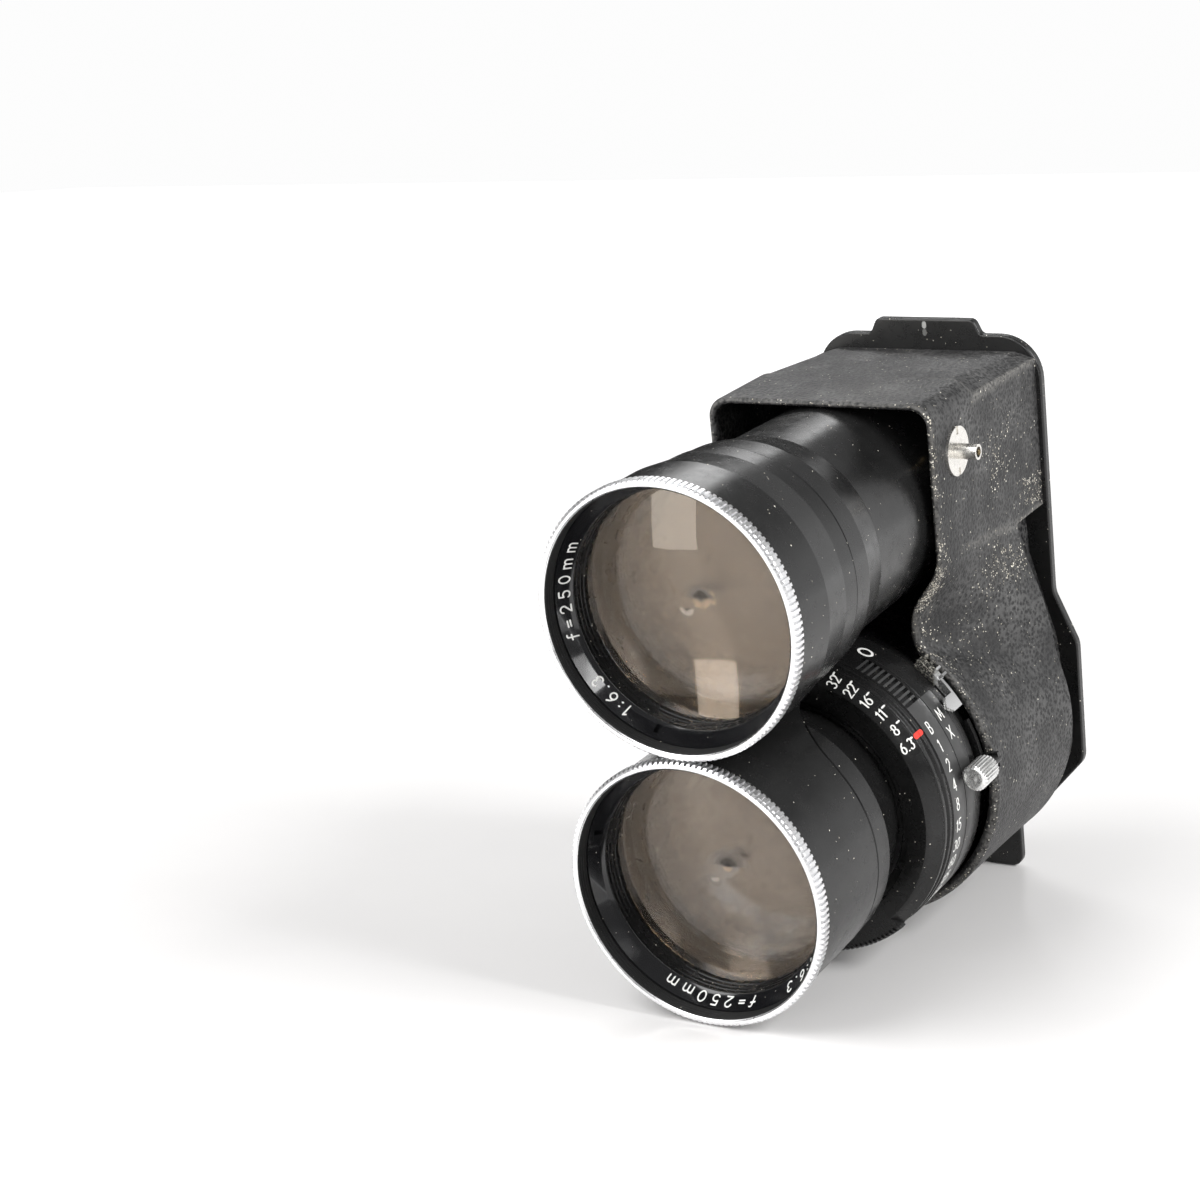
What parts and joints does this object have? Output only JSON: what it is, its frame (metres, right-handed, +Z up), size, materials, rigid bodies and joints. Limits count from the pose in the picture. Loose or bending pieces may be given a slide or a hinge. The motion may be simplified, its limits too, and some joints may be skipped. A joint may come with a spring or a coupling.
{
  "type": "interchangeable twin-lens unit for a twin lens reflex camera",
  "caption": "Telephoto viewing and taking lenses on one lens board, with a leaf shutter, aperture and speed rings in a flared black housing.",
  "frame": {"origin": "on the taking lens's axis at the lens board's back face", "axes": "+Z up towards the viewing lens, +Y back into the camera, +X to the right seen from the front"},
  "size_m": [0.0657, 0.115, 0.1166],
  "materials": {
    "crinkle_black": "fine crinkle paint, matt",
    "anodised_black": "satin black anodised",
    "gloss_black": "gloss black",
    "rim_aluminium": "bright, fine knurl",
    "bright_metal": "satin chrome",
    "steel": "blackened screw steel",
    "blade_steel": "blued spring steel",
    "brass": "plain",
    "black_plastic": "moulded",
    "felt": "black felt",
    "coated_glass": "amber single coating"
  },
  "bodies": {
    "lens_unit": {"housing_screws": "steel", "housing_shell": "crinkle_black", "index_ring": "anodised_black", "lens_board": "anodised_black", "light_seal": "felt", "main_spring": "steel", "scale_retaining_ring": "anodised_black", "shutter_back_plate": "anodised_black", "shutter_case": "anodised_black", "sync_socket_flange": "bright_metal", "sync_socket_insulator": "black_plastic", "sync_socket_nose": "bright_metal", "sync_socket_nut": "bright_metal", "sync_socket_pin": "brass", "taking_front_crown": "coated_glass", "taking_front_flint": "coated_glass", "taking_front_retainer": "anodised_black", "taking_front_tube": "anodised_black", "taking_lock_nut": "anodised_black", "taking_mid_tube": "anodised_black", "taking_name_ring": "gloss_black", "taking_rear_negative": "coated_glass", "taking_rear_positive": "coated_glass", "taking_rear_retainer": "anodised_black", "taking_rear_tube": "anodised_black", "taking_rim": "rim_aluminium", "taking_spacer": "anodised_black", "taking_third_element": "coated_glass", "viewing_front_crown": "coated_glass", "viewing_front_flint": "coated_glass", "viewing_front_retainer": "anodised_black", "viewing_front_tube": "anodised_black", "viewing_lock_nut": "anodised_black", "viewing_mid_tube": "anodised_black", "viewing_name_ring": "gloss_black", "viewing_rear_negative": "coated_glass", "viewing_rear_positive": "coated_glass", "viewing_rear_retainer": "anodised_black", "viewing_rear_tube": "anodised_black", "viewing_rim": "rim_aluminium", "viewing_spacer": "anodised_black", "viewing_third_element": "coated_glass"},
    "aperture_ring": {"aperture_ring": "anodised_black", "aperture_cam_ring": "brass"},
    "speed_ring": {"speed_ring": "anodised_black"},
    "sync_lever": {"sync_lever": "bright_metal"},
    "cocking_lever": {"cocking_lever": "anodised_black", "cocking_knob": "bright_metal"},
    "release_lever": {"release_lever": "bright_metal"},
    "blade_drive_ring": {"blade_drive_ring": "brass"},
    "iris_blade_1": {"iris_blade_1": "blade_steel"},
    "shutter_blade_1": {"shutter_blade_1": "blade_steel"},
    "iris_blade_2": {"iris_blade_2": "blade_steel"},
    "shutter_blade_2": {"shutter_blade_2": "blade_steel"},
    "iris_blade_3": {"iris_blade_3": "blade_steel"},
    "shutter_blade_3": {"shutter_blade_3": "blade_steel"},
    "iris_blade_4": {"iris_blade_4": "blade_steel"},
    "shutter_blade_4": {"shutter_blade_4": "blade_steel"},
    "iris_blade_5": {"iris_blade_5": "blade_steel"},
    "shutter_blade_5": {"shutter_blade_5": "blade_steel"}
  },
  "joints": [
    {"name": "aperture_turn", "type": "hinge", "parent": "lens_unit", "child": "aperture_ring", "pos_m": [0, 0, 0], "axis": [0, 1, 0], "range_deg": [0, 58]},
    {"name": "speed_turn", "type": "hinge", "parent": "lens_unit", "child": "speed_ring", "pos_m": [0, 0, 0], "axis": [0, 1, 0], "range_deg": [-77, 0]},
    {"name": "sync_switch", "type": "hinge", "parent": "lens_unit", "child": "sync_lever", "pos_m": [0, 0, 0], "axis": [0, 1, 0], "range_deg": [0, 8]},
    {"name": "cocking_swing", "type": "hinge", "parent": "lens_unit", "child": "cocking_lever", "pos_m": [0, 0, 0], "axis": [0, 1, 0], "range_deg": [0, 50], "stiffness_Nm_per_rad": 0.004, "springref_deg": -20.05},
    {"name": "release_press", "type": "hinge", "parent": "lens_unit", "child": "release_lever", "pos_m": [0, 0, 0], "axis": [0, 1, 0], "range_deg": [0, 10], "stiffness_Nm_per_rad": 0.006, "springref_deg": -20.05},
    {"name": "blade_drive", "type": "hinge", "parent": "lens_unit", "child": "blade_drive_ring", "pos_m": [0, 0, 0], "axis": [0, 1, 0], "range_deg": [0, 20]},
    {"name": "iris_blade_1_swing", "type": "hinge", "parent": "lens_unit", "child": "iris_blade_1", "pos_m": [0, -0.043, 0.018], "axis": [0, 1, 0], "range_deg": [0, 40]},
    {"name": "iris_blade_2_swing", "type": "hinge", "parent": "lens_unit", "child": "iris_blade_2", "pos_m": [0.01712, -0.04264, 0.00556], "axis": [0, 1, 0], "range_deg": [0, 40]},
    {"name": "iris_blade_3_swing", "type": "hinge", "parent": "lens_unit", "child": "iris_blade_3", "pos_m": [0.01058, -0.04228, -0.01456], "axis": [0, 1, 0], "range_deg": [0, 40]},
    {"name": "iris_blade_4_swing", "type": "hinge", "parent": "lens_unit", "child": "iris_blade_4", "pos_m": [-0.01058, -0.04192, -0.01456], "axis": [0, 1, 0], "range_deg": [0, 40]},
    {"name": "iris_blade_5_swing", "type": "hinge", "parent": "lens_unit", "child": "iris_blade_5", "pos_m": [-0.01712, -0.04156, 0.00556], "axis": [0, 1, 0], "range_deg": [0, 40]},
    {"name": "shutter_blade_1_swing", "type": "hinge", "parent": "lens_unit", "child": "shutter_blade_1", "pos_m": [0, -0.05, 0.018], "axis": [0, 1, 0], "range_deg": [-46, 0]},
    {"name": "shutter_blade_2_swing", "type": "hinge", "parent": "lens_unit", "child": "shutter_blade_2", "pos_m": [0.01712, -0.04964, 0.00556], "axis": [0, 1, 0], "range_deg": [-46, 0]},
    {"name": "shutter_blade_3_swing", "type": "hinge", "parent": "lens_unit", "child": "shutter_blade_3", "pos_m": [0.01058, -0.04928, -0.01456], "axis": [0, 1, 0], "range_deg": [-46, 0]},
    {"name": "shutter_blade_4_swing", "type": "hinge", "parent": "lens_unit", "child": "shutter_blade_4", "pos_m": [-0.01058, -0.04892, -0.01456], "axis": [0, 1, 0], "range_deg": [-46, 0]},
    {"name": "shutter_blade_5_swing", "type": "hinge", "parent": "lens_unit", "child": "shutter_blade_5", "pos_m": [-0.01712, -0.04856, 0.00556], "axis": [0, 1, 0], "range_deg": [-46, 0]}
  ],
  "couplings": [
    {"joint": "blade_drive", "follows": "release_press", "ratio": 2},
    {"joint": "iris_blade_1_swing", "follows": "aperture_turn", "ratio": 0.68},
    {"joint": "iris_blade_2_swing", "follows": "aperture_turn", "ratio": 0.68},
    {"joint": "iris_blade_3_swing", "follows": "aperture_turn", "ratio": 0.68},
    {"joint": "iris_blade_4_swing", "follows": "aperture_turn", "ratio": 0.68},
    {"joint": "iris_blade_5_swing", "follows": "aperture_turn", "ratio": 0.68},
    {"joint": "shutter_blade_1_swing", "follows": "release_press", "ratio": -4.6},
    {"joint": "shutter_blade_2_swing", "follows": "release_press", "ratio": -4.6},
    {"joint": "shutter_blade_3_swing", "follows": "release_press", "ratio": -4.6},
    {"joint": "shutter_blade_4_swing", "follows": "release_press", "ratio": -4.6},
    {"joint": "shutter_blade_5_swing", "follows": "release_press", "ratio": -4.6}
  ]
}
